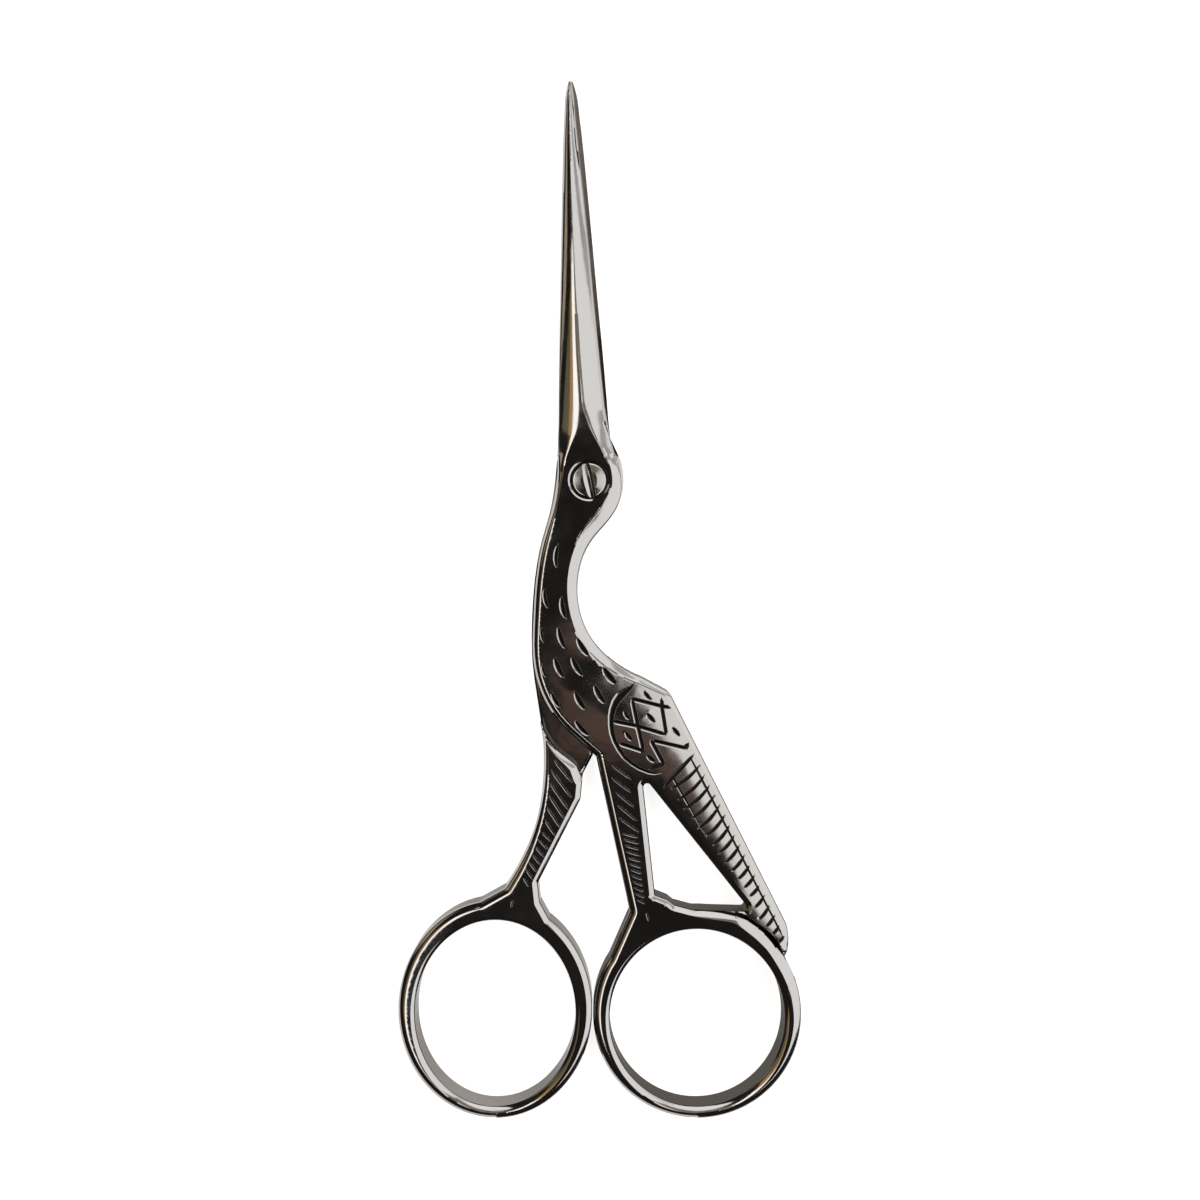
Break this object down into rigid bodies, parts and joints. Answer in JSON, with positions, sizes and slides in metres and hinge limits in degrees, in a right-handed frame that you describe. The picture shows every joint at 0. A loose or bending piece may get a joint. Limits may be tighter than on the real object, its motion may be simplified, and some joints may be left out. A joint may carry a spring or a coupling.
{
  "type": "embroidery scissors",
  "caption": "Small stork-shaped embroidery scissors: two lapped steel halves with blades as the beak, turning on a slotted pivot screw, with a finger ring at the end of each leg.",
  "frame": {"origin": "on the pivot axis, at the flat rear face that the scissors lie on", "axes": "+Y towards the blade tips, +Z out of the front face, from the rear face towards the screw head, +X towards the round finger ring and the tail"},
  "size_m": [0.0446, 0.1155, 0.004],
  "materials": {
    "front_steel": "polished dark nickel plate with blackened engraving",
    "rear_steel": "polished dark nickel plate with blackened engraving",
    "screw_steel": "polished, lightly worn slot"
  },
  "bodies": {
    "front": {"front_half": "front_steel"},
    "rear": {"rear_half": "rear_steel", "pivot_screw": "screw_steel"}
  },
  "joints": [
    {"name": "pivot_hinge", "type": "hinge", "parent": "front", "child": "rear", "pos_m": [0, 0, 0.002], "axis": [0, 0, -1], "range_deg": [0, 75]}
  ]
}
